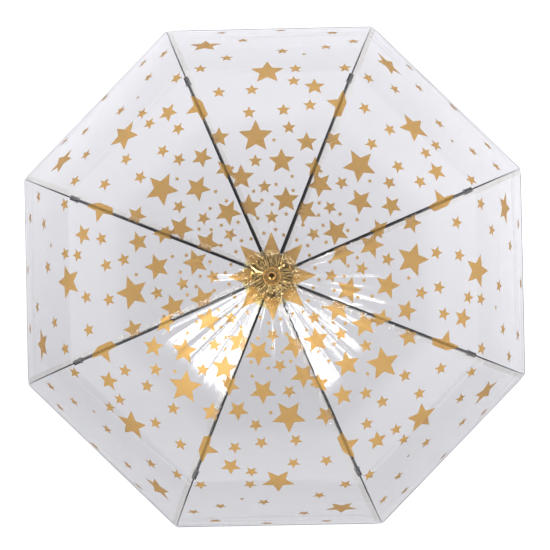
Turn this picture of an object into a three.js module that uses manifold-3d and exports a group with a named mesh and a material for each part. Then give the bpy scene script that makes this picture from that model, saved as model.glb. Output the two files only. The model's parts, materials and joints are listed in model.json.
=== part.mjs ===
// A clear bubble umbrella: a deep, eight-sided film canopy on a folding steel frame.
//
// Millimetres, +Z up. The origin is the centre of the flat end of the handle, on the shaft's axis.
// The umbrella stands open. Each rib lies in a vertical plane through the axis, and each gore of film
// fills the space between two ribs. When the runner slides down the shaft, the struts pull the ribs in.

import * as THREE from 'three';
import { mergeVertices } from 'three/addons/utils/BufferGeometryUtils.js';
import Module from 'manifold-3d';

// ---- driving dimensions ----

const RIB_COUNT = 8;
const STEP_ANGLE = 2 * Math.PI / RIB_COUNT;
const HALF_STEP = STEP_ANGLE / 2;
const GAP = 0.35; // clearance between pieces that touch on the real umbrella

// A rib's centre line runs out from its pivot as four arcs. A tilt is in degrees below the horizontal.
// The first two are the steel strip, which ends at the knuckle, and the last two the spring wire.
const PIVOT = { r: 14, z: 782 };
const ARCS = [
  { radius: 1285, from: 6, to: 15.5, steps: 4 }, // crown, the nearly flat top
  { radius: 234, from: 15.5, to: 35, steps: 4 }, // haunch
  { radius: 200, from: 35, to: 58, steps: 4 }, // shoulder
  { radius: 480, from: 58, to: 80, steps: 5 }, // side wall
];
const STRIP_ARCS = 2;
const CLOSED_KNUCKLE_RADIUS = 20.5; // how far the knuckles are from the axis when the umbrella is closed

const SHAFT = { outer: 5, inner: 4.2, bottom: 25, top: PIVOT.z + 30.5 };
const BORE = SHAFT.outer + 0.3;

const RIB = { width: 4.4, below: 1.4, above: 2.6, wall: 0.6, eye: 2.2, start: 6, end: 4.5, roofBack: 2 };
const STRUT = { thickness: 2, height: 2.6, drop: 130, eye: 1.65 };
const RIVET = { radius: 0.7, hole: 1, head: 1.5, headFrom: 3.7, headTo: 4.3 };
const CHEEK = { from: 2.6, to: 3.4, radius: 2.2, height: 1.8, bridge: 7, end: 13 };
const WIRE_RADIUS = 1.1;
const RING_WIRE = { radius: 0.7, groove: 1.05 };
const TIP = { length: 10, overlap: 5, sides: 8 };

const RUNNER_EAR_RADIUS = 17;
const RUNNER = { top: 8, bottom: -48 }; // heights of its ends from its ring
const FILM = { offset: 3.3, thickness: 0.2, topHole: 10.8, hemBack: 3 };

const CATCH = { width: 2.4, reach: 8, slotWidth: 3.2, height: 12, play: 0.4 };
const KEYWAY = { width: 3.4, depth: 8.7 };

// ---- materials ----

function finish(colour, roughness, metalness, opacity = 1) {
  return new THREE.MeshStandardMaterial({
    color: colour, roughness, metalness, opacity, transparent: opacity < 1,
  });
}

const blackSteel = finish(0x1d1d20, 0.4, 0.8);
const springSteel = finish(0x9a9ca0, 0.3, 1);
const blackPlastic = finish(0x17171a, 0.45, 0);
const goldPlastic = finish(0xc79a45, 0.22, 0.9);
const clearFilm = finish(0xf2f2f6, 0.08, 0, 0.22);

// ---- solids: joining and cutting closed geometries ----

const wasm = await Module();
wasm.setup();

function toSolid(geometry) {
  const bare = geometry.index ? geometry.toNonIndexed() : geometry.clone();
  bare.deleteAttribute('normal');
  bare.deleteAttribute('uv');
  const merged = mergeVertices(bare, 1e-4);
  return new wasm.Manifold(new wasm.Mesh({
    numProp: 3,
    vertProperties: merged.attributes.position.array,
    triVerts: new Uint32Array(merged.index.array),
  }));
}

function toGeometry(solid) {
  const mesh = solid.getMesh();
  const geometry = new THREE.BufferGeometry();
  geometry.setAttribute('position', new THREE.BufferAttribute(mesh.vertProperties, 3));
  geometry.setIndex(new THREE.BufferAttribute(mesh.triVerts, 1));
  geometry.computeVertexNormals();
  return geometry;
}

function join(...geometries) {
  return toGeometry(geometries.map(toSolid).reduce((all, next) => all.add(next)));
}

function cut(geometry, ...tools) {
  return toGeometry(tools.map(toSolid).reduce((left, tool) => left.subtract(tool), toSolid(geometry)));
}

function keepInside(geometry, limit) {
  return toGeometry(toSolid(geometry).intersect(toSolid(limit)));
}

// ---- the rib line ----

const degrees = (angle) => angle * Math.PI / 180;
const arcLength = (arc) => arc.radius * degrees(arc.to - arc.from);

const totalLength = (arcs) => arcs.reduce((sum, arc) => sum + arcLength(arc), 0);

const STRIP_LENGTH = totalLength(ARCS.slice(0, STRIP_ARCS));
const RIB_LENGTH = totalLength(ARCS);

// The point at distance s along the rib from its pivot, moved by offset away from the shaft's side.
function ribPoint(s, offset = 0) {
  let { r, z } = PIVOT;
  let left = s;
  for (const arc of ARCS) {
    const length = arcLength(arc);
    const last = arc === ARCS[ARCS.length - 1];
    const used = last ? left : Math.min(left, length);
    const start = degrees(arc.from);
    const tilt = start + used / arc.radius;
    r += arc.radius * (Math.sin(tilt) - Math.sin(start));
    z -= arc.radius * (Math.cos(start) - Math.cos(tilt));
    left -= used;
    if (left <= 0 || last) {
      return { r: r + offset * Math.sin(tilt), z: z + offset * Math.cos(tilt), tilt };
    }
  }
}

// Every curved piece has its corners at these distances along the rib, so that pieces lie parallel.
const CORNERS = ARCS.flatMap((arc, i) => {
  const before = totalLength(ARCS.slice(0, i));
  return Array.from({ length: arc.steps }, (_, step) => before + arcLength(arc) * step / arc.steps);
});

function stations(from, to) {
  const CLOSEST = 1;
  return [from, ...CORNERS.filter((s) => s > from + CLOSEST && s < to - CLOSEST), to];
}

const KNUCKLE = ribPoint(STRIP_LENGTH); // where the strut and the wire are riveted to the rib
const STRUT_LENGTH = Math.hypot(KNUCKLE.r - RUNNER_EAR_RADIUS, STRUT.drop);
const EAR_Z = KNUCKLE.z - STRUT.drop; // height of the runner's ring, with the umbrella open

const ribChord = Math.hypot(KNUCKLE.r - PIVOT.r, PIVOT.z - KNUCKLE.z);
const closedKnuckleZ = PIVOT.z - Math.sqrt(ribChord ** 2 - (CLOSED_KNUCKLE_RADIUS - PIVOT.r) ** 2);
const CLOSED_EAR_Z = closedKnuckleZ
  - Math.sqrt(STRUT_LENGTH ** 2 - (CLOSED_KNUCKLE_RADIUS - RUNNER_EAR_RADIUS) ** 2);

// ---- flat shapes in a rib's plane: x is the distance from the axis, y is the height ----

// A strip along the rib line, between two offsets from it. narrow scales the distance from the axis.
function band(from, to, low, high, narrow = 1) {
  const along = stations(from, to);
  const edge = (list, offset) => list.map((s) => {
    const p = ribPoint(s, offset);
    return new THREE.Vector2(p.r * narrow, p.z);
  });
  return new THREE.Shape([...edge(along, low), ...edge([...along].reverse(), high)]);
}

function disc(centre, radius) {
  return new THREE.Shape().absarc(centre.r, centre.z, radius, 0, 2 * Math.PI);
}

// A plate of that shape, standing in the XZ plane, with its middle at y = side.
function plate(shape, width, side = 0) {
  const geometry = new THREE.ExtrudeGeometry(shape, {
    depth: width, bevelEnabled: false, curveSegments: 5, steps: 1,
  });
  return geometry.translate(0, 0, -width / 2 - side).rotateX(Math.PI / 2);
}

function block(x0, x1, width, z0, z1) {
  return new THREE.BoxGeometry(x1 - x0, width, z1 - z0)
    .translate((x0 + x1) / 2, 0, (z0 + z1) / 2);
}

// A turned piece about the Z axis, from points [radius, height] that run up its outside.
function turned(points, segments = 24) {
  const profile = points.map(([x, y]) => new THREE.Vector2(x, y));
  return new THREE.LatheGeometry(profile, segments).rotateX(Math.PI / 2);
}

function aroundAxis(geometry) {
  return Array.from({ length: RIB_COUNT }, (_, i) => (
    geometry.clone().rotateZ(HALF_STEP + i * STEP_ANGLE)));
}

function ring(radius, wireRadius, sides) {
  const RING_SEGMENTS = 32;
  return new THREE.TorusGeometry(radius, wireRadius, sides, RING_SEGMENTS);
}

// ---- the frame's moving pieces, each drawn in the XZ plane ----

// Steel channel, open on its underside, with a turned eye on the notch ring and a rivet at the knuckle.
// Its roof stops short of the knuckle, so that the strut can fold out past the channel's end.
function ribGeometry() {
  const end = STRIP_LENGTH + RIB.end;
  const inside = RIB.width - 2 * RIB.wall;
  const roof = RIB.above - RIB.wall;
  const SOLID_ROOT = 5;
  const blank = join(
    plate(band(RIB.start - 1, end, -RIB.below, RIB.above), RIB.width),
    plate(band(0, RIB.start, -RIB.eye, RIB.eye), RIB.width),
    plate(disc(PIVOT, RIB.eye), RIB.width),
  );
  const channel = cut(
    blank,
    plate(band(RIB.start + SOLID_ROOT, end + 2, -RIB.below - 2, roof), inside),
    plate(band(STRIP_LENGTH - RIB.roofBack, end + 2, roof - 1, RIB.above + 1), inside),
    plate(disc(PIVOT, RING_WIRE.groove), RIB.width + 2),
  );
  const headWidth = RIVET.headTo - RIVET.headFrom;
  const headSide = (RIVET.headTo + RIVET.headFrom) / 2;
  return join(
    channel,
    plate(disc(KNUCKLE, RIVET.radius), 2 * RIVET.headTo - headWidth),
    plate(disc(KNUCKLE, RIVET.head), headWidth, headSide),
    plate(disc(KNUCKLE, RIVET.head), headWidth, -headSide),
  );
}

class RibLine extends THREE.Curve {
  constructor(from, to) {
    super();
    this.from = from;
    this.to = to;
  }

  getPoint(t, target = new THREE.Vector3()) {
    const p = ribPoint(this.from + t * (this.to - this.from));
    return target.set(p.r, 0, p.z);
  }
}

// Round spring wire for the shoulder and the wall, held by a clevis that straddles the rib's end.
function wireGeometry() {
  const SIDES = 6;
  const STEPS = 14;
  const corners = Array.from({ length: SIDES }, (_, i) => {
    const angle = i * 2 * Math.PI / SIDES;
    return new THREE.Vector2(WIRE_RADIUS * Math.cos(angle), WIRE_RADIUS * Math.sin(angle));
  });
  const wire = new THREE.ExtrudeGeometry(new THREE.Shape(corners), {
    steps: STEPS, extrudePath: new RibLine(STRIP_LENGTH + CHEEK.bridge + 2, RIB_LENGTH),
  });
  const cheekWidth = CHEEK.to - CHEEK.from;
  const cheekSide = (CHEEK.to + CHEEK.from) / 2;
  const strip = band(STRIP_LENGTH, STRIP_LENGTH + CHEEK.end, -CHEEK.height, CHEEK.height);
  const cheeks = [cheekSide, -cheekSide].flatMap((side) => [
    plate(strip, cheekWidth, side),
    plate(disc(KNUCKLE, CHEEK.radius), cheekWidth, side),
  ]);
  const bridge = band(STRIP_LENGTH + CHEEK.bridge, STRIP_LENGTH + CHEEK.end, -CHEEK.height, CHEEK.height);
  return cut(
    join(plate(bridge, 2 * CHEEK.from + 0.4), wire, ...cheeks),
    plate(disc(KNUCKLE, RIVET.hole), 2 * RIVET.headTo),
  );
}

// Ball-ended cap that is pushed over the wire's end, drawn about the wire's own axis.
function tipGeometry() {
  const bore = WIRE_RADIUS + 0.3;
  return turned([
    [0, TIP.overlap], [bore, TIP.overlap], [bore, 0], [2, 0], [2.2, 1], [2.2, 4.5], [2.7, 5.6], [2.9, 7],
    [2.5, 8.6], [1.4, 9.6], [0, TIP.length],
  ], TIP.sides);
}

// Flat steel bar. Its outer end turns on the rivet inside the rib's channel. Its inner end hooks
// under the runner's ring, and its upper side is open there, so the ring can leave the hook.
function strutShape() {
  const along = new THREE.Vector2(KNUCKLE.r - RUNNER_EAR_RADIUS, STRUT.drop).normalize();
  const at = (x, y) => new THREE.Vector2(
    RUNNER_EAR_RADIUS + along.x * x - along.y * y,
    EAR_Z + along.y * x + along.x * y,
  );
  const half = STRUT.height / 2;
  const hookFloor = -RING_WIRE.groove;
  const HOOK = { lip: 1.3, back: 2.8 };
  const eyeTurn = Math.asin(half / STRUT.eye);
  const eye = Array.from({ length: 7 }, (_, i) => {
    const angle = eyeTurn - i * 2 * eyeTurn / 6;
    return at(STRUT_LENGTH + STRUT.eye * Math.cos(angle), STRUT.eye * Math.sin(angle));
  });
  const shape = new THREE.Shape([
    at(-HOOK.back, HOOK.lip),
    at(-HOOK.back, hookFloor - STRUT.height + 1),
    at(-HOOK.back + 1, hookFloor - STRUT.height),
    ...eye.reverse(),
    at(1.5, hookFloor),
    at(hookFloor, hookFloor),
    at(hookFloor, HOOK.lip),
  ]);
  shape.holes.push(new THREE.Path().absarc(KNUCKLE.r, KNUCKLE.z, RIVET.hole, 0, 2 * Math.PI));
  return shape;
}

// Leaf spring inside the shaft. Its nose stands out through a slot, flat on one side and sloped on
// the other, so that the runner can ride up the slope and be stopped by the flat side.
function catchGeometry(z, flatSideUp) {
  const up = flatSideUp ? 1 : -1;
  const LEAF = { back: 1, front: 3.5, above: 10, below: 22 };
  const outline = [
    [LEAF.back, LEAF.above], [LEAF.front, LEAF.above], [LEAF.front, 0], [CATCH.reach, 0],
    [CATCH.reach, -2.5], [LEAF.front, -CATCH.height], [LEAF.front, -LEAF.below], [LEAF.back, -LEAF.below],
  ];
  return plate(new THREE.Shape(outline.map(([x, y]) => new THREE.Vector2(x, z + up * y))), CATCH.width);
}

function catchSlot(z, flatSideUp) {
  const low = flatSideUp ? z - CATCH.height - 1 : z - 1;
  return block(SHAFT.inner - 1.5, SHAFT.outer + 2, CATCH.slotWidth, low, low + CATCH.height + 2);
}

// ---- pieces about the shaft's axis ----

function notchGeometry() {
  const disk = turned([[BORE, -5], [17, -5], [18, -4], [18, 1.2], [17, 2.2], [BORE, 2.2], [BORE, -5]], 32);
  const slot = block(11, 25, RIB.width + 0.8, -10, 10);
  return cut(disk, ...aroundAxis(slot), ring(PIVOT.r, RING_WIRE.groove, 6)).translate(0, 0, PIVOT.z);
}

// Sleeve with a slotted crown. The keyway in its bore lets it pass the two catches.
function runnerGeometry() {
  const bore = SHAFT.outer + 0.4;
  const body = turned([
    [bore, RUNNER.bottom], [9.6, RUNNER.bottom], [10.5, RUNNER.bottom + 1], [10.5, -30], [9.6, -28],
    [9.6, -14], [13, -10], [20.2, -5.5], [20.6, -4.5], [20.6, 4.5], [19.6, 5.5], [12.5, RUNNER.top],
    [bore, RUNNER.top], [bore, RUNNER.bottom],
  ], 32);
  const slot = block(13, 25, STRUT.thickness + 0.8, -20, 20);
  const keyway = block(0, KEYWAY.depth, KEYWAY.width, -60, 20);
  return cut(body, ...aroundAxis(slot), ring(RUNNER_EAR_RADIUS, RING_WIRE.groove, 6), keyway)
    .translate(0, 0, EAR_Z);
}

// A shallow gold cone that covers the hole in the top of the canopy.
function rosetteGeometry() {
  return turned([[6, 4.7], [27, 2.6], [27.3, 2.9], [27, 3.4], [6, 5.5], [6, 4.7]], 32)
    .translate(0, 0, PIVOT.z);
}

function ferruleGeometry() {
  return turned([
    [0, 31], [BORE, 31], [BORE, 5.9], [12.5, 5.9], [13, 6.4], [13, 8], [11.5, 10.5], [8.6, 12.6], [7.6, 15],
    [7.2, 38], [6.6, 42], [6.6, 46], [5.8, 49.5], [4.6, 51.6], [3.6, 52.2], [0, 52.2],
  ], 28).translate(0, 0, PIVOT.z);
}

const HANDLE = { capTop: 8, grip: 8.35, top: 118, collarTop: 130 };

function handleGeometry() {
  const gripOutside = [
    [12.4, HANDLE.grip], [13, 9.4], [13.6, 20], [13.4, 34], [12.4, 52], [12, 66], [12.3, 82], [11.8, 98],
    [10.2, 110], [9.4, 117], [8.8, HANDLE.top],
  ];
  return turned([
    [0, 17], [6.35, 17], [6.35, HANDLE.grip], ...gripOutside, [BORE, HANDLE.top], [BORE, 22], [0, 22],
  ], 24);
}

function handleCapGeometry() {
  return turned([
    [0, 0], [10.6, 0], [12.2, 0.8], [12.9, 2.4], [12.9, 6.6], [12.4, HANDLE.capTop], [6, HANDLE.capTop],
    [6, 15], [0, 15],
  ], 24);
}

function collarGeometry() {
  const low = HANDLE.top + GAP;
  return turned([
    [BORE, low], [9, low], [9.6, low + 1], [9.6, 122], [8.8, 123.5], [8.4, 128], [7.4, HANDLE.collarTop],
    [BORE, HANDLE.collarTop], [BORE, low],
  ], 24);
}

// The top catch stands just below the open runner, and the bottom one just above the closed runner.
const TOP_CATCH_Z = EAR_Z + RUNNER.bottom - CATCH.play;
const BOTTOM_CATCH_Z = CLOSED_EAR_Z + RUNNER.top + CATCH.play;

function shaftGeometry() {
  const tube = turned([
    [SHAFT.inner, SHAFT.bottom], [SHAFT.outer, SHAFT.bottom], [SHAFT.outer, SHAFT.top],
    [SHAFT.inner, SHAFT.top], [SHAFT.inner, SHAFT.bottom],
  ], 24);
  return cut(tube, catchSlot(TOP_CATCH_Z, true), catchSlot(BOTTOM_CATCH_Z, false));
}

// ---- the canopy: each gore is a flat cut of film that bends in one direction only ----

// A gore's stretch between two distances along the ribs, drawn with its middle over the X axis.
function goreGeometry(from, to) {
  const FAR = 600;
  const HIGH = 1000;
  const narrow = Math.cos(HALF_STEP);
  const film = band(from, to, FILM.offset, FILM.offset + FILM.thickness, narrow);
  const reach = FAR * Math.tan(HALF_STEP) - GAP;
  const wedge = new THREE.Shape([
    new THREE.Vector2(GAP / Math.tan(HALF_STEP), 0),
    new THREE.Vector2(FAR, -reach),
    new THREE.Vector2(FAR, reach),
  ]);
  const limit = new THREE.ExtrudeGeometry(wedge, { depth: HIGH, bevelEnabled: false, steps: 1 });
  return keepInside(plate(film, FAR), limit);
}

// ---- assembly ----

const umbrella = new THREE.Group();

function add(name, geometry, material, parent = umbrella) {
  const mesh = new THREE.Mesh(geometry, material);
  mesh.name = name;
  parent.add(mesh);
  return mesh;
}

add('shaft_tube', shaftGeometry(), blackSteel);
add('top_notch', notchGeometry(), blackPlastic);
add('notch_ring', ring(PIVOT.r, RING_WIRE.radius, 5).translate(0, 0, PIVOT.z), springSteel);
add('canopy_rosette', rosetteGeometry(), goldPlastic);
add('ferrule', ferruleGeometry(), goldPlastic);
add('handle_grip', handleGeometry(), blackPlastic);
add('handle_cap', handleCapGeometry(), goldPlastic);
add('handle_collar', collarGeometry(), goldPlastic);
add('runner', runnerGeometry(), blackPlastic);
add('runner_ring', ring(RUNNER_EAR_RADIUS, RING_WIRE.radius, 5).translate(0, 0, EAR_Z), springSteel);
add('top_catch', catchGeometry(TOP_CATCH_Z, true), springSteel);
add('bottom_catch', catchGeometry(BOTTOM_CATCH_Z, false), springSteel);

const rib = ribGeometry();
const ribWire = wireGeometry();
const ribTip = tipGeometry();
const strut = plate(strutShape(), STRUT.thickness);
const goreTop = goreGeometry(FILM.topHole - PIVOT.r, STRIP_LENGTH);
const goreSide = goreGeometry(STRIP_LENGTH + GAP, RIB_LENGTH - FILM.hemBack);
const wireEnd = ribPoint(RIB_LENGTH);
const tipBack = TIP.overlap - GAP;

for (let i = 1; i <= RIB_COUNT; i += 1) {
  const ribPlane = new THREE.Group();
  ribPlane.rotation.z = i * STEP_ANGLE - HALF_STEP;
  add(`rib_${i}`, rib, blackSteel, ribPlane);
  add(`rib_wire_${i}`, ribWire, blackSteel, ribPlane);
  add(`strut_${i}`, strut, blackSteel, ribPlane);
  const tip = add(`rib_tip_${i}`, ribTip, blackPlastic, ribPlane);
  tip.rotation.y = Math.PI / 2 + wireEnd.tilt;
  tip.position.set(
    wireEnd.r - tipBack * Math.cos(wireEnd.tilt),
    0,
    wireEnd.z + tipBack * Math.sin(wireEnd.tilt),
  );

  const gorePlane = new THREE.Group();
  gorePlane.rotation.z = i * STEP_ANGLE;
  add(`gore_top_${i}`, goreTop, clearFilm, gorePlane);
  add(`gore_side_${i}`, goreSide, clearFilm, gorePlane);
  umbrella.add(ribPlane, gorePlane);
}

export default umbrella;
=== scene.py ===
import json
import math
import random

import bpy
import numpy as np
from mathutils import Matrix, Vector, noise


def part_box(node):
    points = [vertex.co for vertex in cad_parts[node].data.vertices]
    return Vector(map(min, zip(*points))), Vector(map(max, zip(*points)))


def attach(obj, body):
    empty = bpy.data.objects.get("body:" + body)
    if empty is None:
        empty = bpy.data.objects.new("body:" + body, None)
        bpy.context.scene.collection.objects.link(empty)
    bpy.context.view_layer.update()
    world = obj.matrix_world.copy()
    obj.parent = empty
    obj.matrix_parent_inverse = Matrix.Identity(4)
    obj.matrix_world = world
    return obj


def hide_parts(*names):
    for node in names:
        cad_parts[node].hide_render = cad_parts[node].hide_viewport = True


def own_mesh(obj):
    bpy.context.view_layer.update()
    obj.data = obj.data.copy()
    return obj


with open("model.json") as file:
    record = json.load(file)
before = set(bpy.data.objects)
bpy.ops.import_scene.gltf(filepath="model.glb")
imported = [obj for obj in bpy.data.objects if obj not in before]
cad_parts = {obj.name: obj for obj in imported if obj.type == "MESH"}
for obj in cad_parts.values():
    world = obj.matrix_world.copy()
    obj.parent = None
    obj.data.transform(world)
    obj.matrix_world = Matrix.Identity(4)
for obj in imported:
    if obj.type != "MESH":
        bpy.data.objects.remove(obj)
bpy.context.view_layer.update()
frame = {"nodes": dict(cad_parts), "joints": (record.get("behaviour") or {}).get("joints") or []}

# ---- Camera ----
# It hangs two metres above the crown and looks down along the shaft, a little to one side of the axis.
# From there the walls of the dome are seen almost edge-on.

CROWN_RISE = 0.0055  # how far the crown stands above the ribs' pivots
CAMERA_ABOVE_CROWN = 2.033
CAMERA_ASIDE = Vector((0.023, -0.007))
CAMERA_TURN = (0.0040, 0.0094, -0.0200)
LENS = 98.2

joint_at = {j["name"]: Vector(j["pos_m"]) for j in frame["joints"] if "pos_m" in j}
pivot_height = joint_at["rib_fold_1"].z
crown_height = pivot_height + CROWN_RISE

bpy.ops.object.select_all(action="DESELECT")
bpy.ops.object.camera_add(
    location=(CAMERA_ASIDE.x, CAMERA_ASIDE.y, crown_height + CAMERA_ABOVE_CROWN),
    rotation=CAMERA_TURN,
)
camera = bpy.context.object
camera.name = "overhead_camera"
camera.data.lens = LENS
camera.data.clip_end = 50
bpy.context.scene.camera = camera

# ---- Floor and light ----
# A pale studio floor below the handle, painted darker towards -Y as painted shade, as if the light fell from
# the +Y side, and a sky that is bright low down and dim overhead. The film mirrors the soft boxes round the
# top as streaks of glare.

bpy.context.scene.view_settings.view_transform = "Standard"

FLOOR_ACROSS = 30

bpy.ops.mesh.primitive_grid_add(x_subdivisions=2, y_subdivisions=2, size=FLOOR_ACROSS, location=(0, 0, 0))
floor = bpy.context.object
floor.name = "studio_floor"
floor_paint = bpy.data.materials.new("floor_paint")
floor_paint.use_nodes = True
paint_tree = floor_paint.node_tree
paint_tree.nodes["Principled BSDF"].inputs["Roughness"].default_value = 0.9
# The floor's colour is painted shade: it runs from 0.67 to 1.0 across the floor, darkest towards -Y.
floor_place = paint_tree.nodes.new("ShaderNodeTexCoord")
floor_shade_slant = paint_tree.nodes.new("ShaderNodeVectorMath")
floor_shade_slant.operation = "DOT_PRODUCT"
floor_shade_slant.inputs[1].default_value = (0.24, 0.95, 0)
floor_painted_shade = paint_tree.nodes.new("ShaderNodeMapRange")
floor_painted_shade.inputs["From Min"].default_value, floor_painted_shade.inputs["From Max"].default_value = -0.30, 0.24
floor_painted_shade.inputs["To Min"].default_value, floor_painted_shade.inputs["To Max"].default_value = 0.67, 1.0
paint_tree.links.new(floor_place.outputs["Object"], floor_shade_slant.inputs[0])
paint_tree.links.new(floor_shade_slant.outputs["Value"], floor_painted_shade.inputs["Value"])
paint_tree.links.new(floor_painted_shade.outputs["Result"], paint_tree.nodes["Principled BSDF"].inputs["Base Color"])
floor.data.materials.append(floor_paint)

world = bpy.data.worlds.new("studio")
world.use_nodes = True
sky = world.node_tree
direction = sky.nodes.new("ShaderNodeTexCoord")
direction_axes = sky.nodes.new("ShaderNodeSeparateXYZ")
height = sky.nodes.new("ShaderNodeMapRange")
height.interpolation_type = "SMOOTHSTEP"
height.inputs["From Min"].default_value, height.inputs["From Max"].default_value = 0.62, 0.92
height.inputs["To Min"].default_value, height.inputs["To Max"].default_value = 2.05, 0.16
sky.nodes["Background"].inputs["Color"].default_value = (0.96, 0.96, 1.0, 1)
sky.links.new(direction.outputs["Generated"], direction_axes.inputs["Vector"])
sky.links.new(direction_axes.outputs["Z"], height.inputs["Value"])
sky.links.new(height.outputs["Result"], sky.nodes["Background"].inputs["Strength"])
bpy.context.scene.world = world

BOX_DISTANCE = 2.6


def soft_box(name, azimuth, elevation, size, power):
    """A soft box that faces the crown, azimuth degrees round from +X and elevation degrees up."""
    a, e = math.radians(azimuth), math.radians(elevation)
    out = Vector((math.cos(a) * math.cos(e), math.sin(a) * math.cos(e), math.sin(e)))
    bpy.ops.object.light_add(type="AREA", location=Vector((0, 0, crown_height)) + out * BOX_DISTANCE)
    light = bpy.context.object
    light.name = name
    light.data.shape = "RECTANGLE"
    light.data.size, light.data.size_y = size
    light.data.energy = power
    light.rotation_euler = out.to_track_quat("Z", "Y").to_euler()


soft_box("box_lower_left", 229, 64, (0.46, 0.95), 28)
soft_box("box_lower_right", 306, 64, (0.16, 0.8), 12)
soft_box("box_right", 343, 62, (0.14, 0.5), 7)

# ---- Steel frame: shaft, ribs, struts, rings and catches ----
# The ribs are fluted steel strip and the struts flat bar, all lacquered black. Rings and catches are
# bright spring wire. The ribs and struts hang on the rings, in the slots of the notch and the runner.


def plain_material(name, colour, roughness, metallic=0.0, coat=0.0, specular=0.5):
    """A Principled material with one colour and one gloss all over."""
    material = bpy.data.materials.new(name)
    material.use_nodes = True
    shader = material.node_tree.nodes["Principled BSDF"]
    shader.inputs["Base Color"].default_value = (*colour, 1)
    shader.inputs["Roughness"].default_value = roughness
    shader.inputs["Metallic"].default_value = metallic
    shader.inputs["Coat Weight"].default_value = coat
    shader.inputs["Specular IOR Level"].default_value = specular
    return material


def mottled(material, scale, colours, roughness, bump):
    """Breaks up a material's colour, gloss and surface with noise in the piece's own coordinates."""
    tree = material.node_tree
    shader = tree.nodes["Principled BSDF"]
    place = tree.nodes.new("ShaderNodeTexCoord")
    grain = tree.nodes.new("ShaderNodeTexNoise")
    grain.inputs["Scale"].default_value = scale
    grain.inputs["Detail"].default_value = 4
    tint = tree.nodes.new("ShaderNodeValToRGB")
    tint.color_ramp.elements[0].color = (*colours[0], 1)
    tint.color_ramp.elements[1].color = (*colours[1], 1)
    gloss = tree.nodes.new("ShaderNodeMapRange")
    gloss.inputs["To Min"].default_value, gloss.inputs["To Max"].default_value = roughness
    dents = tree.nodes.new("ShaderNodeBump")
    dents.inputs["Strength"].default_value = bump
    dents.inputs["Distance"].default_value = 0.0003
    tree.links.new(place.outputs["Object"], grain.inputs["Vector"])
    tree.links.new(grain.outputs["Fac"], tint.inputs["Fac"])
    tree.links.new(grain.outputs["Fac"], gloss.inputs["Value"])
    tree.links.new(grain.outputs["Fac"], dents.inputs["Height"])
    tree.links.new(tint.outputs["Color"], shader.inputs["Base Color"])
    tree.links.new(gloss.outputs["Result"], shader.inputs["Roughness"])
    tree.links.new(dents.outputs["Normal"], shader.inputs["Normal"])
    return material


black_steel = mottled(
    plain_material("black_lacquered_steel", (0.01, 0.01, 0.01), 0.35, specular=0.15),
    420, ((0.002, 0.002, 0.002), (0.010, 0.009, 0.008)), (0.30, 0.48), 0.15,
)
spring_steel = mottled(
    plain_material("bright_spring_steel", (0.6, 0.6, 0.62), 0.3, metallic=1.0),
    700, ((0.42, 0.43, 0.45), (0.62, 0.62, 0.64)), (0.22, 0.38), 0.1,
)
black_plastic = mottled(
    plain_material("black_moulded_plastic", (0.02, 0.02, 0.02), 0.4, specular=0.3),
    900, ((0.009, 0.009, 0.010), (0.020, 0.020, 0.022)), (0.32, 0.45), 0.2,
)


def finished(node, body, material, softened=0.0, round_below=35):
    """A piece on a CAD node's own shape, with softened edges, and smooth where its faces meet at less
    than round_below degrees."""
    bpy.ops.object.select_all(action="DESELECT")
    piece = bpy.data.objects.new(f"finished_{node}", frame["nodes"][node].data.copy())
    bpy.context.scene.collection.objects.link(piece)
    bpy.context.view_layer.objects.active = piece
    piece.select_set(True)
    bpy.ops.object.mode_set(mode="EDIT")
    bpy.ops.mesh.select_all(action="SELECT")
    bpy.ops.mesh.remove_doubles(threshold=0.00001)
    bpy.ops.mesh.dissolve_limited(angle_limit=math.radians(1))
    bpy.ops.object.mode_set(mode="OBJECT")
    if softened:
        edges = piece.modifiers.new("softened_edges", "BEVEL")
        edges.width = softened
        edges.segments = 2
        edges.limit_method = "ANGLE"
        edges.angle_limit = math.radians(round_below)
        bpy.ops.object.modifier_apply(modifier=edges.name)
    bpy.ops.object.shade_smooth_by_angle(angle=math.radians(round_below))
    piece.data.materials.clear()
    piece.data.materials.append(material)
    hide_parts(node)
    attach(piece, body)


RIBS = 8
sides = range(1, RIBS + 1)  # ribs, struts and gores are numbered alike
CATCH_EDGE, STRIP_EDGE, MOULDED_EDGE = 0.0002, 0.0002, 0.0003
finished("shaft_tube", "shaft", black_steel)
finished("top_notch", "shaft", black_plastic, softened=MOULDED_EDGE)
finished("runner", "runner", black_plastic, softened=MOULDED_EDGE)
finished("notch_ring", "shaft", spring_steel, round_below=65)
finished("runner_ring", "runner", spring_steel, round_below=65)
finished("top_catch", "top_catch", spring_steel, softened=CATCH_EDGE)
finished("bottom_catch", "bottom_catch", spring_steel, softened=CATCH_EDGE)
for i in sides:
    finished(f"rib_{i}", f"rib_{i}", black_steel, softened=STRIP_EDGE)
    finished(f"rib_wire_{i}", f"rib_wire_{i}", black_steel, round_below=62)
    finished(f"strut_{i}", f"strut_{i}", black_steel, softened=STRIP_EDGE)

# ---- Ferrule ----
# The spike on top: moulded plastic with a vacuum-metallised gold skin under clear lacquer. It is
# pressed on the end of the shaft, and its flange holds the gathered film down on the top notch.

gold_trim = mottled(
    plain_material("gold_metallised_plastic", (0.6, 0.36, 0.08), 0.12, metallic=1.0, coat=0.6),
    260, ((0.15, 0.075, 0.016), (0.40, 0.23, 0.06)), (0.07, 0.18), 0.08,
)
TURNED_SEGMENTS = 72


def apply_place(piece):
    """Puts the piece's place into its mesh, so that its object sits at the origin."""
    bpy.context.view_layer.objects.active = piece
    piece.select_set(True)
    bpy.ops.object.transform_apply(location=True, rotation=True, scale=True)


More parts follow.
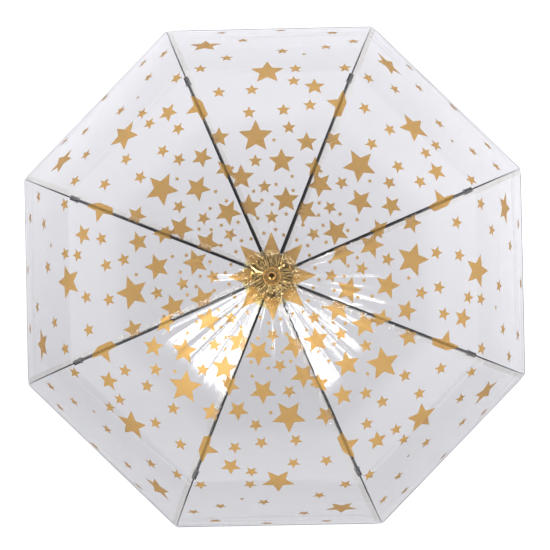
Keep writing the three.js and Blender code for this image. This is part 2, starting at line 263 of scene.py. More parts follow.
def turned(name, outline, material, base=0.0):
    """A turned piece about the shaft: a disc extruded and scaled from point to point of its outline,
    which is [radius, height] in millimetres above base."""
    bpy.ops.object.select_all(action="DESELECT")
    radius, height = outline[0]
    bpy.ops.mesh.primitive_circle_add(
        vertices=TURNED_SEGMENTS, radius=radius / 1000, fill_type="NGON",
        location=(0, 0, base + height / 1000),
    )
    piece = bpy.context.object
    piece.name = name
    apply_place(piece)
    bpy.ops.object.mode_set(mode="EDIT")
    bpy.ops.mesh.select_all(action="SELECT")
    for next_radius, next_height in outline[1:]:
        bpy.ops.mesh.extrude_region_move(
            TRANSFORM_OT_translate={"value": (0, 0, (next_height - height) / 1000)}
        )
        share = next_radius / radius
        bpy.ops.transform.resize(value=(share, share, 1), center_override=(0, 0, 0))
        radius, height = next_radius, next_height
    bpy.ops.mesh.select_all(action="SELECT")
    bpy.ops.mesh.normals_make_consistent(inside=False)
    bpy.ops.object.mode_set(mode="OBJECT")
    bpy.ops.object.shade_smooth_by_angle(angle=math.radians(32))
    piece.data.materials.append(material)
    return piece


def quarter_turn(centre, radius, start, end, steps=5):
    """Outline points round a rounded edge, from one angle to another in degrees."""
    angles = [math.radians(start + (end - start) * k / steps) for k in range(steps + 1)]
    return [(centre[0] + radius * math.cos(a), centre[1] + radius * math.sin(a)) for a in angles]


ferrule = turned(
    "gold_ferrule",
    [
        (11.9, 0), *quarter_turn((12.0, 1.0), 1.0, -90, 90), (11.2, 2.6), (10.2, 4.2), (8.8, 5.4),
        *quarter_turn((9.2, 7.4), 1.5, 240, 180), (7.5, 12), (7.25, 22), (7.1, 31),
        *quarter_turn((6.6, 32.2), 0.7, -45, 45, 4), (6.45, 34), (6.5, 39),
        *quarter_turn((2.9, 42.6), 3.5, 0, 90, 8), (1.2, 46.3),
    ],
    gold_trim,
    base=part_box("ferrule")[0].z,
)
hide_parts("ferrule")
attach(ferrule, "shaft")

# ---- Handle ----
# A straight moulded grip, bulged for the palm, with a gold cap below and a gold collar above. The cap
# and the collar are snapped on before the shaft is glued in.

grip = turned(
    "handle_grip_moulding",
    [
        (12.3, 8.1), (12.9, 9.2), (13.3, 13), (13.6, 20), (13.65, 27), (13.4, 34), (12.9, 43), (12.4, 52),
        (12.05, 60), (12, 66), (12.2, 74), (12.3, 82), (12.15, 90), (11.8, 98), (11.1, 105), (10.2, 110.5),
        (9.5, 115), (9.2, 117.6), (8.8, 118),
    ],
    black_plastic,
)
cap = turned(
    "handle_cap_moulding",
    [(10.6, 0), (11.6, 0.3), *quarter_turn((10.9, 2.6), 2.1, -60, 0), (13.0, 6.2), (12.8, 7.4), (12.2, 8.0)],
    gold_trim,
)
collar = turned(
    "handle_collar_moulding",
    [
        (8.9, 118.3), (9.4, 118.6), (9.7, 119.4), (9.7, 121.6), (9.2, 122.6), (8.9, 123.6), (8.6, 126),
        (8.3, 128), (7.9, 129.4), (7.2, 130),
    ],
    gold_trim,
)
for piece, node, finish in (
    (grip, "handle_grip", "black_plastic"),
    (cap, "handle_cap", "gold_trim"),
    (collar, "handle_collar", "gold_trim"),
):
    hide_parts(node)
    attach(piece, "shaft")

# ---- Film canopy ----
# Eight gores of clear PVC film, cut flat and welded along the ribs. Each is stiff enough to bend one
# way only, round the shoulder, and keeps the crease of its last folding down its middle.

HALF_GORE = math.pi / RIBS  # half the angle between two ribs
# The arcs of a rib, each with its radius in metres, and its tilt in degrees at either end.
RIB_ARCS = [(1.285, 6, 15.5), (0.234, 15.5, 35), (0.200, 35, 58), (0.480, 58, 80)]
STRIP_ARCS = 2  # the steel strip runs along the first two, and the spring wire along the rest
FILM_OFFSET = 0.0033  # from the line through the rib's pivot up to the film
FILM_THICKNESS = 0.0002
HEM_BACK = 0.003  # the hem ends this far short of the rib's end
CROWN_HOLE = 0.0108
SEAM_GAP = 0.0003  # between the edge of a gore and the middle of its seam
LINE_STEP = 0.001
LINE_SPARE = 0.02  # the gore's middle line is worked out this far past the rib's end
STORAGE_FOLDS = 12

pivot = Vector((joint_at["rib_fold_1"].xy.length, joint_at["rib_fold_1"].z))
arc_lengths = [radius * math.radians(end - start) for radius, start, end in RIB_ARCS]
strip_length = sum(arc_lengths[:STRIP_ARCS])
rib_length = sum(arc_lengths)


def rib_point(distance, offset):
    """Distance from the axis and height of a point at that distance along a rib, offset outward."""
    r, z = pivot
    for (radius, start, _), length in zip(RIB_ARCS, arc_lengths):
        start = math.radians(start)
        last = length == arc_lengths[-1]
        used = distance if last else min(distance, length)
        tilt = start + used / radius
        r += radius * (math.sin(tilt) - math.sin(start))
        z -= radius * (math.cos(start) - math.cos(tilt))
        distance -= used
        if distance <= 0:
            break
    return r + offset * math.sin(tilt), z + offset * math.cos(tilt)


# The gore's own middle line, as distances along the film counted from the axis.
line_steps = np.arange(CROWN_HOLE - pivot.x, rib_length + LINE_SPARE, LINE_STEP)
middle = np.array([rib_point(s, FILM_OFFSET) for s in line_steps])
middle[:, 0] *= math.cos(HALF_GORE)
along = np.concatenate([[0], np.cumsum(np.hypot(*np.diff(middle, axis=0).T))]) + middle[0, 0]
film_start = along[0]
film_knee = float(np.interp(strip_length, line_steps, along))
film_hem = float(np.interp(rib_length - HEM_BACK, line_steps, along))


def half_width(t):
    """Half the gore's width at distance t along the film."""
    return np.interp(t, along, middle[:, 0]) * math.tan(HALF_GORE)


def storage_folds(i):
    """The radial folds that storage leaves in one gore: angle across it, breadth, height and reach."""
    chance = random.Random(40 + i)
    folds = [(0.0, 0.011, 0.00050, 0.09)]  # the crease down the middle
    for _ in range(STORAGE_FOLDS):
        angle = chance.uniform(-0.92, 0.92) * HALF_GORE
        breadth = chance.uniform(0.008, 0.028)
        folds.append((angle, breadth, chance.uniform(-1, 1) * 0.017 * breadth, chance.uniform(0.06, 0.12)))
    return folds


FOLDS = {i: storage_folds(i) for i in sides}
# Creases that run across each gore: distance along the film, breadth and height.
CROSS_FOLDS = (
    (0.318, 0.0028, 0.0007), (0.352, 0.0022, -0.0006), (0.372, 0.0036, 0.0009), (0.44, 0.0038, -0.0011),
    (0.462, 0.0030, 0.0009), (0.494, 0.0034, 0.0013),
)
CREASE_WANDER, CREASE_WAVER = 0.004, 0.0015
BILLOW = 0.001
FLAT_AT_SEAM = 0.004  # the relief dies away over this distance from a seam


def relief(u, t, i):
    """How far the film of gore i stands off its smooth shape. It lies flat along both seams."""
    share = np.abs(u) / half_width(t)
    angle = np.arctan2(u, t)
    height = BILLOW * np.sin(np.clip(t / film_hem, 0, 1) * math.pi) * (1 - share**2)
    for at, breadth, rise, reach in FOLDS[i]:
        fade = t / reach * np.exp(1 - t / reach)
        height = height + rise * fade * np.exp(-(((angle - at) / breadth) ** 2))
    for k, (at, breadth, rise) in enumerate(CROSS_FOLDS):
        wander = CREASE_WANDER * np.sin(13 * u + 1.7 * i + 2.3 * k)
        line = at + wander + CREASE_WAVER * np.sin(57 * u + i * k)
        strength = 0.6 + 0.4 * np.sin(9 * u + 2.9 * i + k)
        height = height + rise * strength * np.exp(-(((t - line) / breadth) ** 2))
    return height * np.clip((1 - share) * half_width(t) / FLAT_AT_SEAM, 0, 1)


def on_film(u, t, i, lift=0.0):
    """Points on the film of gore i, turned to face +X: u metres across it and t metres along it."""
    m, z = np.interp(t, along, middle[:, 0]), np.interp(t, along, middle[:, 1])
    step = 0.0005
    slope_m = np.interp(t + step, along, middle[:, 0]) - np.interp(t - step, along, middle[:, 0])
    slope_z = np.interp(t + step, along, middle[:, 1]) - np.interp(t - step, along, middle[:, 1])
    length = np.hypot(slope_m, slope_z)
    off = relief(u, t, i) + lift
    return np.stack([m - off * slope_z / length, u, z + off * slope_m / length], axis=-1)


def film_material(name, tint, grazing_tint, haze):
    """Clear film: it mirrors more and lets less through where it is seen at a grazing angle."""
    material = bpy.data.materials.new(name)
    material.use_nodes = True
    tree = material.node_tree
    tree.nodes.clear()
    out = tree.nodes.new("ShaderNodeOutputMaterial")
    clear = tree.nodes.new("ShaderNodeBsdfTransparent")
    milk = tree.nodes.new("ShaderNodeBsdfPrincipled")
    milk.inputs["Base Color"].default_value = (0.80, 0.80, 0.84, 1)
    milk.inputs["Roughness"].default_value = 0.25
    mirror = tree.nodes.new("ShaderNodeBsdfGlossy")
    mirror.inputs["Color"].default_value = (0.78, 0.78, 0.79, 1)
    mirror.inputs["Roughness"].default_value = 0.09
    hazy = tree.nodes.new("ShaderNodeMixShader")
    hazy.inputs["Fac"].default_value = haze
    edge_on = tree.nodes.new("ShaderNodeLayerWeight")
    steep = tree.nodes.new("ShaderNodeMath")
    steep.operation = "POWER"
    steep.inputs[1].default_value = 5
    depth = tree.nodes.new("ShaderNodeMix")
    depth.data_type = "RGBA"
    depth.inputs["A"].default_value = (*tint, 1)
    depth.inputs["B"].default_value = (*grazing_tint, 1)
    share = tree.nodes.new("ShaderNodeMapRange")
    share.inputs["To Min"].default_value = 0.04
    shiny = tree.nodes.new("ShaderNodeMixShader")
    place = tree.nodes.new("ShaderNodeUVMap")
    place.uv_map = "film"
    stretch = tree.nodes.new("ShaderNodeMapping")
    stretch.inputs["Scale"].default_value = (55, 9, 1)
    grain = tree.nodes.new("ShaderNodeTexNoise")
    grain.inputs["Scale"].default_value = 1.0
    grain.inputs["Detail"].default_value = 3
    ripples = tree.nodes.new("ShaderNodeBump")
    ripples.inputs["Strength"].default_value = 0.5
    ripples.inputs["Distance"].default_value = 0.0009
    link = tree.links.new
    link(place.outputs["UV"], stretch.inputs["Vector"])
    link(stretch.outputs["Vector"], grain.inputs["Vector"])
    link(grain.outputs["Fac"], ripples.inputs["Height"])
    for shader in (milk, mirror):
        link(ripples.outputs["Normal"], shader.inputs["Normal"])
    link(edge_on.outputs["Facing"], steep.inputs[0])
    link(edge_on.outputs["Facing"], depth.inputs["Factor"])
    link(depth.outputs["Result"], clear.inputs["Color"])
    link(steep.outputs["Value"], share.inputs["Value"])
    link(clear.outputs["BSDF"], hazy.inputs[1])
    link(milk.outputs["BSDF"], hazy.inputs[2])
    link(hazy.outputs["Shader"], shiny.inputs[1])
    link(mirror.outputs["BSDF"], shiny.inputs[2])
    link(share.outputs["Result"], shiny.inputs["Fac"])
    link(shiny.outputs["Shader"], out.inputs["Surface"])
    return material


# The film lets through less than clear PVC does: its tint is partly the film's own grey and partly painted
# shade for the dim space under the canopy.
clear_film = film_material("clear_film", (0.764, 0.763, 0.770), (0.77, 0.77, 0.78), 0.004)
film_edge = bpy.data.materials.new("film_edge")
film_edge.use_nodes = True
film_edge.node_tree.nodes.remove(film_edge.node_tree.nodes["Principled BSDF"])
edge_clear = film_edge.node_tree.nodes.new("ShaderNodeBsdfTransparent")
film_edge.node_tree.links.new(
    edge_clear.outputs["BSDF"], film_edge.node_tree.nodes["Material Output"].inputs["Surface"]
)


def active_mesh_arrays():
    """The active piece's mesh, and its points as rows of an array."""
    mesh = bpy.context.object.data
    points = np.zeros(len(mesh.vertices) * 3)
    mesh.vertices.foreach_get("co", points)
    return mesh, points.reshape(-1, 3)


def set_points(mesh, points):
    """Moves the mesh's points to these places."""
    mesh.vertices.foreach_set("co", points.reshape(-1))
    mesh.update()


def solidify(piece, thickness, rim_slot=0):
    """Thickens a sheet on the side that it faces. Its rim takes the material rim_slot places further on."""
    bpy.context.view_layer.objects.active = piece
    wall = piece.modifiers.new("thickness", "SOLIDIFY")
    wall.thickness = thickness
    wall.offset = 1.0
    wall.material_offset_rim = rim_slot
    bpy.ops.object.modifier_apply(modifier=wall.name)


def film_patch(name, low, high, rows, columns, i):
    """A stretch of gore i between two distances along it, from seam to seam."""
    bpy.ops.mesh.primitive_grid_add(x_subdivisions=rows, y_subdivisions=columns, size=2)
    piece = bpy.context.object
    piece.name = name
    mesh, grid = active_mesh_arrays()
    t = low + (high - low) * (grid[:, 0] + 1) / 2
    u = grid[:, 1] * (half_width(t) - SEAM_GAP)
    uv = mesh.uv_layers[0]
    uv.name = "film"
    places = np.stack([u, t], axis=-1)
    corners = np.zeros(len(mesh.loops), int)
    mesh.loops.foreach_get("vertex_index", corners)
    uv.data.foreach_set("uv", places[corners].reshape(-1))
    set_points(mesh, on_film(u, t, i))
    mesh.materials.append(clear_film)
    mesh.materials.append(film_edge)
    solidify(piece, FILM_THICKNESS, rim_slot=1)
    bpy.ops.object.shade_smooth_by_angle(angle=math.radians(40))
    return piece


def turn_about_shaft(piece, azimuth):
    """Turns the piece's mesh about the shaft, from +X to its place in the round."""
    piece.data.transform(Matrix.Rotation(azimuth, 4, "Z"))


# The two stretches of a gore, parted at the knuckles, and the share of its width that each keeps closed.
STRETCHES = {
    "top": {"low": film_start, "high": film_knee, "rows": 110, "keep": 0.075},
    "side": {"low": film_knee, "high": film_hem, "rows": 110, "keep": 0.085},
}


def folds_with_gore(piece, stretch, i):
    """The piece rides on its gore."""
    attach(piece, f"gore_{stretch}_{i}")
    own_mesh(piece)


for stretch, made in STRETCHES.items():
    for i in sides:
        gore = film_patch(f"film_{stretch}_{i}", made["low"], made["high"], made["rows"], 72, i)
        turn_about_shaft(gore, i * 2 * HALF_GORE)
        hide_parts(f"gore_{stretch}_{i}")
        folds_with_gore(gore, stretch, i)

# ---- Joint pads ----
# A small moulded pad is clipped on each clevis, so that the joint doesn't rub the film. Its corners are
# rounded.

PAD_LENGTH, PAD_WIDTH, PAD_THICKNESS = 0.0142, 0.0068, 0.0004
PAD_CORNER = 0.0014
PAD_BACK = 0.0012  # its inner end is this far on the shaft's side of the knuckle
PAD_OFFSET = 0.00288
pad_middle = strip_length - PAD_BACK + PAD_LENGTH / 2
pad_tilt = math.radians(RIB_ARCS[STRIP_ARCS][1]) + (pad_middle - strip_length) / RIB_ARCS[STRIP_ARCS][0]
pad_place = rib_point(pad_middle, PAD_OFFSET)
for i in sides:
    bpy.ops.object.select_all(action="DESELECT")
    bpy.ops.mesh.primitive_cube_add(size=1)
    pad = bpy.context.object
    pad.name = f"joint_pad_{i}"
    pad.scale = (PAD_LENGTH, PAD_WIDTH, PAD_THICKNESS)
    apply_place(pad)
    corners = pad.modifiers.new("round_corners", "BEVEL")
    corners.width = PAD_CORNER
    corners.segments = 4
    corners.limit_method = "ANGLE"
    corners.affect = "VERTICES"
    bpy.ops.object.modifier_apply(modifier=corners.name)
    bpy.ops.object.shade_smooth_by_angle(angle=math.radians(35))
    pad.data.materials.append(black_plastic)
    pad.data.transform(Matrix.Rotation(pad_tilt, 4, "Y"))
    pad.data.transform(Matrix.Translation((pad_place[0], 0, pad_place[1])))
    pad.data.transform(Matrix.Rotation((2 * i - 1) * HALF_GORE, 4, "Z"))
    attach(pad, f"rib_wire_{i}")

# ---- Rib tips ----
# Ball-ended caps of moulded plastic, pushed over the ends of the wires at the corners of the hem. The
# sleeve of each cap grips the last 5 mm of its wire.

TIP_OVERLAP = 0.005
wire_end = rib_point(rib_length, 0.0)
tip_turn = math.radians(90 + RIB_ARCS[-1][2])
for i in sides:
    tip = turned(
        f"rib_tip_cap_{i}",
        [
            (1.5, 0), (2.0, 0.2), (2.2, 1), (2.2, 4.2), (2.35, 4.7), *quarter_turn((0, 7.1), 2.9, -35, 70, 8),
            (0.4, 10),
        ],
        black_plastic,
        base=-TIP_OVERLAP,
    )
    tip.data.transform(Matrix.Rotation(tip_turn, 4, "Y"))
    tip.data.transform(Matrix.Translation((wire_end[0], 0, wire_end[1])))
    tip.data.transform(Matrix.Rotation((2 * i - 1) * HALF_GORE, 4, "Z"))
    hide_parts(f"rib_tip_{i}")
    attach(tip, f"rib_wire_{i}")

# ---- Printed stars ----
# Translucent gold ink, screen-printed on the outside of the flat film before the gores are cut, so the
# cutting and welding take the points off the stars that lie over a seam.

# The stars' widths in metres, each with their places in millimetres: across the gore and out along it.
STARS = {
    0.047: [(-93, 394), (-2, 306), (-19, 197), (103, 243)],
    0.036: [(16, 160), (-40, 138), (21, 105), (-30, 96)],
    0.029: [(64, 275), (51, 187), (-70, 197), (62, 151)],
    0.019: [
        (-60, 344), (-97, 317), (38, 312), (35, 286), (20, 363), (83, 376), (108, 312), (-38, 417),
        (124, 401), (-72, 478), (18, 491), (95, 455), (-70, 268), (-24, 271), (57, 243), (20, 236),
        (-28, 233), (27, 209), (-20, 161), (-8, 124), (1, 81),
    ],
    0.007: [
        (51, 351), (6, 191), (30, 138), (8, 127), (-23, 118), (31, 118), (-52, 152), (-12, 105),
        (2, 99), (21, 85), (-18, 80), (6, 64), (-10, 59), (17, 56),
    ],
}
STAR_WAIST = 0.46  # how far out a star's inner corners are, as a share of its points
POINT_REACH = 0.5257  # a star's points are this far from its middle, as a share of its width
STAR_CUTS = {0.047: 6, 0.036: 4, 0.029: 3, 0.019: 2, 0.007: 0}
INK_LIFT = 0.00023
INK_THICKNESS = 0.00004
INK_TINT = (0.79, 0.63, 0.42)  # what one face of the ink lets through
INK_COVER = 0.22  # the share of the print that the ink's gold flakes cover

gold_ink = mottled(
    plain_material("gold_ink", (0.62, 0.42, 0.14), 0.36, metallic=0.7),
    380, ((0.56, 0.37, 0.115), (0.74, 0.51, 0.18)), (0.30, 0.42), 0.1,
)
ink_tree = gold_ink.node_tree
ink_glaze = ink_tree.nodes.new("ShaderNodeBsdfTransparent")
ink_glaze.inputs["Color"].default_value = (*INK_TINT, 1)
ink_cover = ink_tree.nodes.new("ShaderNodeMixShader")
ink_cover.inputs["Fac"].default_value = INK_COVER
ink_tree.links.new(ink_glaze.outputs["BSDF"], ink_cover.inputs[1])
ink_tree.links.new(ink_tree.nodes["Principled BSDF"].outputs["BSDF"], ink_cover.inputs[2])
ink_tree.links.new(ink_cover.outputs["Shader"], ink_tree.nodes["Material Output"].inputs["Surface"])


def flat_star(width, across, out, cuts):
    """A flat star on the pattern, one point towards the hem, cut fine enough to bend with the film."""
    bpy.ops.mesh.primitive_circle_add(vertices=10, radius=width * POINT_REACH, fill_type="TRIFAN")
    mesh, points = active_mesh_arrays()
    reach = np.hypot(points[:, 0], points[:, 1])
    turn = np.arctan2(points[:, 0], points[:, 1])
    corner = np.round(turn / (math.pi / 5)).astype(int)
    shrink = np.where(corner % 2 == 0, 1.0, STAR_WAIST)
    points[:, 0] = np.cos(turn) * reach * shrink
    points[:, 1] = np.sin(turn) * reach * shrink
    set_points(mesh, points)
    if cuts:
        bpy.ops.object.mode_set(mode="EDIT")
        bpy.ops.mesh.select_all(action="SELECT")
        bpy.ops.mesh.subdivide(number_cuts=cuts)
        bpy.ops.object.mode_set(mode="OBJECT")
    mesh, points = active_mesh_arrays()
    points[:, 0] += out
    points[:, 1] -= across  # across counts to the right, looking from the shaft to the hem
    set_points(mesh, points)
    return bpy.context.object


def flat_petal():
    """The point of the big star at the crown that falls on each gore. Its base fills the gore."""
    outline = [(0.013, 0.0060), (0.0295, 0.0126), (0.061, 0.0)]
    bpy.ops.mesh.primitive_grid_add(x_subdivisions=16, y_subdivisions=6, size=2)
    mesh, points = active_mesh_arrays()
    out = outline[0][0] + (outline[-1][0] - outline[0][0]) * (points[:, 0] + 1) / 2
    wide = np.interp(out, [p[0] for p in outline], [p[1] for p in outline])
    points = np.stack([out, points[:, 1] * wide, points[:, 2] * 0], axis=-1)
    set_points(mesh, points)
    return bpy.context.object


def cut_away(piece, point, normal):
    """Bisects the piece and removes the side that the normal points to."""
    bpy.context.view_layer.objects.active = piece
    bpy.ops.object.mode_set(mode="EDIT")
    bpy.ops.mesh.select_all(action="SELECT")
    bpy.ops.mesh.bisect(plane_co=point, plane_no=normal, clear_outer=True)
    bpy.ops.object.mode_set(mode="OBJECT")


def flat_print(stretch):
    """All the print of one gore's top or side, still flat: x along the film and y across it."""
    made = STRETCHES[stretch]
    bpy.ops.object.select_all(action="DESELECT")
    stars = [
        flat_star(width, across / 1000, out / 1000, STAR_CUTS[width])
        for width, places in STARS.items()
        for across, out in places
        if made["low"] - width < out / 1000 < made["high"] + width
    ]
    if stretch == "top":
        stars.append(flat_petal())
    for star in stars:
        star.select_set(True)
    bpy.context.view_layer.objects.active = stars[0]
    bpy.ops.object.join()
    printing = bpy.context.object
    apply_place(printing)
    cut_away(printing, (made["high"], 0, 0), (1, 0, 0))
    cut_away(printing, (made["low"], 0, 0), (-1, 0, 0))
    return printing


def finish_print(printing):
    """Gives the ink its thickness, once it is in place."""
    bpy.ops.object.mode_set(mode="EDIT")
    bpy.ops.mesh.select_all(action="SELECT")
    bpy.ops.mesh.normals_make_consistent(inside=False)
    bpy.ops.object.mode_set(mode="OBJECT")
    solidify(printing, INK_THICKNESS)
    bpy.ops.object.shade_smooth_by_angle(angle=math.radians(30))
    printing.data.materials.clear()
    return printing


def printed_gore(stretch, i):
    """The print of the top or side of gore i, laid on the film and trimmed at its seams."""
    printing = flat_print(stretch)
    mesh, points = active_mesh_arrays()
    set_points(mesh, on_film(points[:, 1], points[:, 0], i, INK_LIFT))
    for side in (1, -1):
        out_of_seam = (-math.sin(HALF_GORE), side * math.cos(HALF_GORE), 0)
        cut_away(printing, (0, 0, 0), out_of_seam)
    return finish_print(printing)


for stretch in STRETCHES:
    for i in sides:
        stars = printed_gore(stretch, i)
        stars.name = f"printed_stars_{stretch}_{i}"
        stars.data.materials.append(gold_ink)
        turn_about_shaft(stars, i * 2 * HALF_GORE)
        folds_with_gore(stars, stretch, i)

# ---- Seam laps ----
# Each gore has an allowance of 8.5 mm along its right side. It is folded over the rib and welded down on
# the next gore, so it shows as a shiny strip beside the rib, with the ends of the printed stars on it.

LAP_WIDTH = 0.0085
LAP_START = 0.024  # nearer the shaft than this it is cut away, under the gathered centre
LAP_LIFT = 0.0005
LAP_CURL = 0.0009
LAP_PRINT_INSET = 0.0002
lap_film = film_material("welded_lap_film", (0.968, 0.955, 0.935), (0.93, 0.915, 0.89), 0.003)


def lap_height(e, t, i):
    """How far the lap stands off the film at e metres in from its seam: welded flat, then curling up."""
    share = np.clip(e / LAP_WIDTH, 0, 1)
    waviness = 1 + 0.6 * np.sin(t * 75 + 2.1 * i) + 0.3 * np.sin(t * 181 + i)
    return LAP_LIFT + LAP_CURL * share**2 * waviness


def on_lap(e, t, i, lift=0.0):
    """Points on the lap of gore i, e metres in from its seam and t metres along it."""
    return on_film(half_width(t) - e, t, i, lap_height(e, t, i) + lift)


def seam_lap(stretch, i):
    """The lap that is welded along the left side of gore i, over its top or its side."""
    made = STRETCHES[stretch]
    low = max(made["low"], LAP_START)
    bpy.ops.mesh.primitive_grid_add(x_subdivisions=120, y_subdivisions=6, size=2)
    piece = bpy.context.object
    mesh, grid = active_mesh_arrays()
    t = low + (made["high"] - low) * (grid[:, 0] + 1) / 2
    e = LAP_WIDTH * (1 - grid[:, 1]) / 2
    mesh.uv_layers[0].name = "film"
    set_points(mesh, on_lap(e, t, i))
    mesh.materials.append(lap_film)
    mesh.materials.append(film_edge)
    solidify(piece, FILM_THICKNESS, rim_slot=1)
    bpy.ops.object.shade_smooth_by_angle(angle=math.radians(40))
    return piece


def lap_print(stretch, i):
    """The star ends on the lap: what the next gore's print has beyond its own right-hand seam."""
    printing = flat_print(stretch)
    mesh, points = active_mesh_arrays()
    points[:, 1] = -points[:, 1] - half_width(points[:, 0])
    set_points(mesh, points)
    cut_away(printing, (0, LAP_PRINT_INSET, 0), (0, -1, 0))
    cut_away(printing, (0, LAP_WIDTH - LAP_PRINT_INSET, 0), (0, 1, 0))
    mesh, points = active_mesh_arrays()
    set_points(mesh, on_lap(points[:, 1], points[:, 0], i, INK_LIFT))
    return finish_print(printing)


for stretch in STRETCHES:
    for i in sides:
        lap = seam_lap(stretch, i)
        lap.name = f"seam_lap_{stretch}_{i}"
        turn_about_shaft(lap, i * 2 * HALF_GORE)
        folds_with_gore(lap, stretch, i)

for i in sides:  # below the knuckles no star reaches a seam
    print_ends = lap_print("top", i)
    print_ends.name = f"lap_star_ends_{i}"
    print_ends.data.materials.append(gold_ink)
    turn_about_shaft(print_ends, i * 2 * HALF_GORE)
    folds_with_gore(print_ends, "top", i)

# ---- Hem ----
# The lower edge of each gore is folded up twice inside and welded, which leaves a 6 mm band and a
# firm rolled edge.

HEM_HEIGHT = 0.006
HEM_THICKNESS = 0.0004
HEM_INSIDE = 0.0006  # how far the folded band lies inside the film
HEM_ROLL = 0.0008
BAND_GAP, ROLL_GAP = 0.0006, 0.0012  # left at each seam
hem_film = film_material("hem_film", (0.84, 0.84, 0.86), (0.6, 0.6, 0.62), 0.01)
hem_edge_film = film_material("hem_edge_film", (0.24, 0.24, 0.26), (0.12, 0.12, 0.13), 0.02)


def hem_roll(i):
    """The rolled edge: a slim tube from rib to rib along the foot of the gore."""
    half = float(half_width(film_hem)) - ROLL_GAP
    bpy.ops.mesh.primitive_cylinder_add(vertices=12, radius=HEM_ROLL, depth=2 * half, end_fill_type="NGON")
    piece = bpy.context.object
    piece.data.transform(Matrix.Rotation(math.pi / 2, 4, "X"))
    piece.data.transform(Matrix.Translation(Vector(on_film(np.array(0.0), np.array(film_hem), i))))
    piece.data.uv_layers[0].name = "film"
    piece.data.materials.append(hem_edge_film)
    bpy.ops.object.shade_smooth_by_angle(angle=math.radians(40))
    return piece


for i in sides:
    bpy.ops.mesh.primitive_grid_add(x_subdivisions=4, y_subdivisions=40, size=2)
    band = bpy.context.object
    mesh, grid = active_mesh_arrays()
    t = film_hem - HEM_HEIGHT * (1 - grid[:, 0]) / 2
    u = grid[:, 1] * (half_width(t) - BAND_GAP)
    mesh.uv_layers[0].name = "film"
    set_points(mesh, on_film(u, t, i, -HEM_INSIDE))
    mesh.materials.append(hem_film)
    solidify(band, HEM_THICKNESS)
    bpy.ops.object.shade_smooth_by_angle(angle=math.radians(40))
    band.name = f"hem_band_{i}"
    roll = hem_roll(i)
    roll.name = f"hem_roll_{i}"
    for piece in (band, roll):
        turn_about_shaft(piece, i * 2 * HALF_GORE)
        folds_with_gore(piece, "side", i)

# ---- Gathered centre ----
# Where the eight points meet, the gold-printed film is gathered into pleats and pinched under the
# ferrule's flange. It crumples like foil.

CENTRE_RADII = [0.0065 + 0.0009 * k for k in range(26)]
CENTRE_CORNERS = 216
CENTRE_BASE = pivot_height + 0.0048
CENTRE_FALL = 0.0022
CENTRE_THICKNESS = 0.0002
PLEATS = 19
PLEAT_HEIGHT = 0.0021
FACET_HEIGHT = 0.0012

# Its colour runs from near-black to gold with the same noise that dents it, darkest in the dents: painted
# shade in the crumples, over the print's own gold.
gathered_gold = mottled(
    plain_material("gathered_gold_film", (0.3, 0.18, 0.05), 0.16, metallic=0.85, coat=0.5),
    150, ((0.020, 0.011, 0.004), (0.42, 0.285, 0.10)), (0.06, 0.22), 0.3,
)
bpy.ops.object.select_all(action="DESELECT")
bpy.ops.mesh.primitive_circle_add(
    vertices=CENTRE_CORNERS, radius=CENTRE_RADII[0], fill_type="NOTHING", location=(0, 0, 0)
)
centre = bpy.context.object
centre.name = "gathered_centre"
bpy.ops.object.mode_set(mode="EDIT")
bpy.ops.mesh.select_all(action="SELECT")
for inner, outer in zip(CENTRE_RADII, CENTRE_RADII[1:]):
    bpy.ops.mesh.extrude_region_move()
    bpy.ops.transform.resize(value=(outer / inner, outer / inner, 1), center_override=(0, 0, 0))
bpy.ops.mesh.select_all(action="SELECT")
bpy.ops.mesh.normals_make_consistent(inside=False)
bpy.ops.object.mode_set(mode="OBJECT")
mesh, points = active_mesh_arrays()
for place in points:
    r = math.hypot(place[0], place[1])
    turn = math.atan2(place[1], place[0])
    out = (r - CENTRE_RADII[0]) / (CENTRE_RADII[-1] - CENTRE_RADII[0])
    twist = turn + 0.25 * math.sin(3 * turn + 1) * out
    pleat = abs(math.sin(PLEATS / 2 * twist + 0.7 * math.sin(5 * turn)))
    crumple = noise.noise(Vector((math.cos(turn), math.sin(turn), 3 * out)) * 4.5)
    facet = abs(noise.noise(Vector((place[0], place[1], 0.3)) * 210))
    crumpled = PLEAT_HEIGHT * pleat + FACET_HEIGHT * facet
    place[2] = CENTRE_BASE - CENTRE_FALL * out + (0.3 + 0.7 * out) * crumpled
    ragged = 1 + 0.07 * out * crumple - 0.05 * out * (1 - pleat)
    place[0] *= ragged
    place[1] *= ragged
set_points(mesh, points)
solidify(centre, CENTRE_THICKNESS)
centre.data.materials.append(gathered_gold)
bpy.ops.object.shade_smooth_by_angle(angle=math.radians(24))
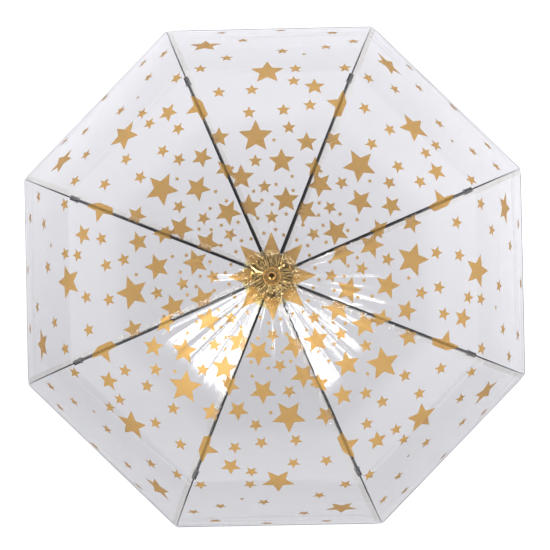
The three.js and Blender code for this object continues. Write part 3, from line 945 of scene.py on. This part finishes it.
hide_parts("canopy_rosette")
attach(centre, "shaft")

# ---- Flounce ----
# A loose ring of amber film round the gathers. It is a washer that keeps rain out of the seams, and it
# stands in soft waves because the ferrule pinches it at its middle.

FLOUNCE_INNER, FLOUNCE_OUTER = 0.024, 0.0395
FLOUNCE_LEAN = (-0.0022, -0.0028)
FLOUNCE_WAVES = 11
FLOUNCE_RISE, FLOUNCE_FALL = 0.0034, 0.0012
FLOUNCE_BELOW = 0.0003  # its inner edge is this far below the gathers' base

flounce_film = film_material("amber_flounce_film", (0.95, 0.885, 0.60), (0.90, 0.80, 0.46), 0.03)
bpy.ops.object.select_all(action="DESELECT")
bpy.ops.mesh.primitive_grid_add(x_subdivisions=180, y_subdivisions=14, size=2)
flounce = bpy.context.object
flounce.name = "centre_flounce"
mesh, grid = active_mesh_arrays()
mesh.uv_layers[0].name = "film"
turn = (grid[:, 0] + 1) * math.pi
out = (grid[:, 1] + 1) / 2
edge = FLOUNCE_OUTER * (1 + 0.035 * np.sin(3 * turn + 0.8) + 0.025 * np.sin(8 * turn + 2.0))
r = FLOUNCE_INNER + (edge - FLOUNCE_INNER) * out
wave = np.abs(np.sin(FLOUNCE_WAVES / 2 * turn + 0.5 * np.sin(3 * turn))) + 0.35 * np.sin(23 * turn) * out
rise = CENTRE_BASE - FLOUNCE_BELOW + FLOUNCE_RISE * out**2 * wave - FLOUNCE_FALL * out
points = np.stack(
    [r * np.cos(turn) + FLOUNCE_LEAN[0] * out, r * np.sin(turn) + FLOUNCE_LEAN[1] * out, rise], axis=-1
)
set_points(mesh, points)
bpy.ops.object.mode_set(mode="EDIT")
bpy.ops.mesh.select_all(action="SELECT")
bpy.ops.mesh.remove_doubles(threshold=0.00001)
bpy.ops.mesh.normals_make_consistent(inside=False)
bpy.ops.object.mode_set(mode="OBJECT")
solidify(flounce, FILM_THICKNESS)
flounce.data.materials.append(flounce_film)
bpy.ops.object.shade_smooth_by_angle(angle=math.radians(40))
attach(flounce, "shaft")
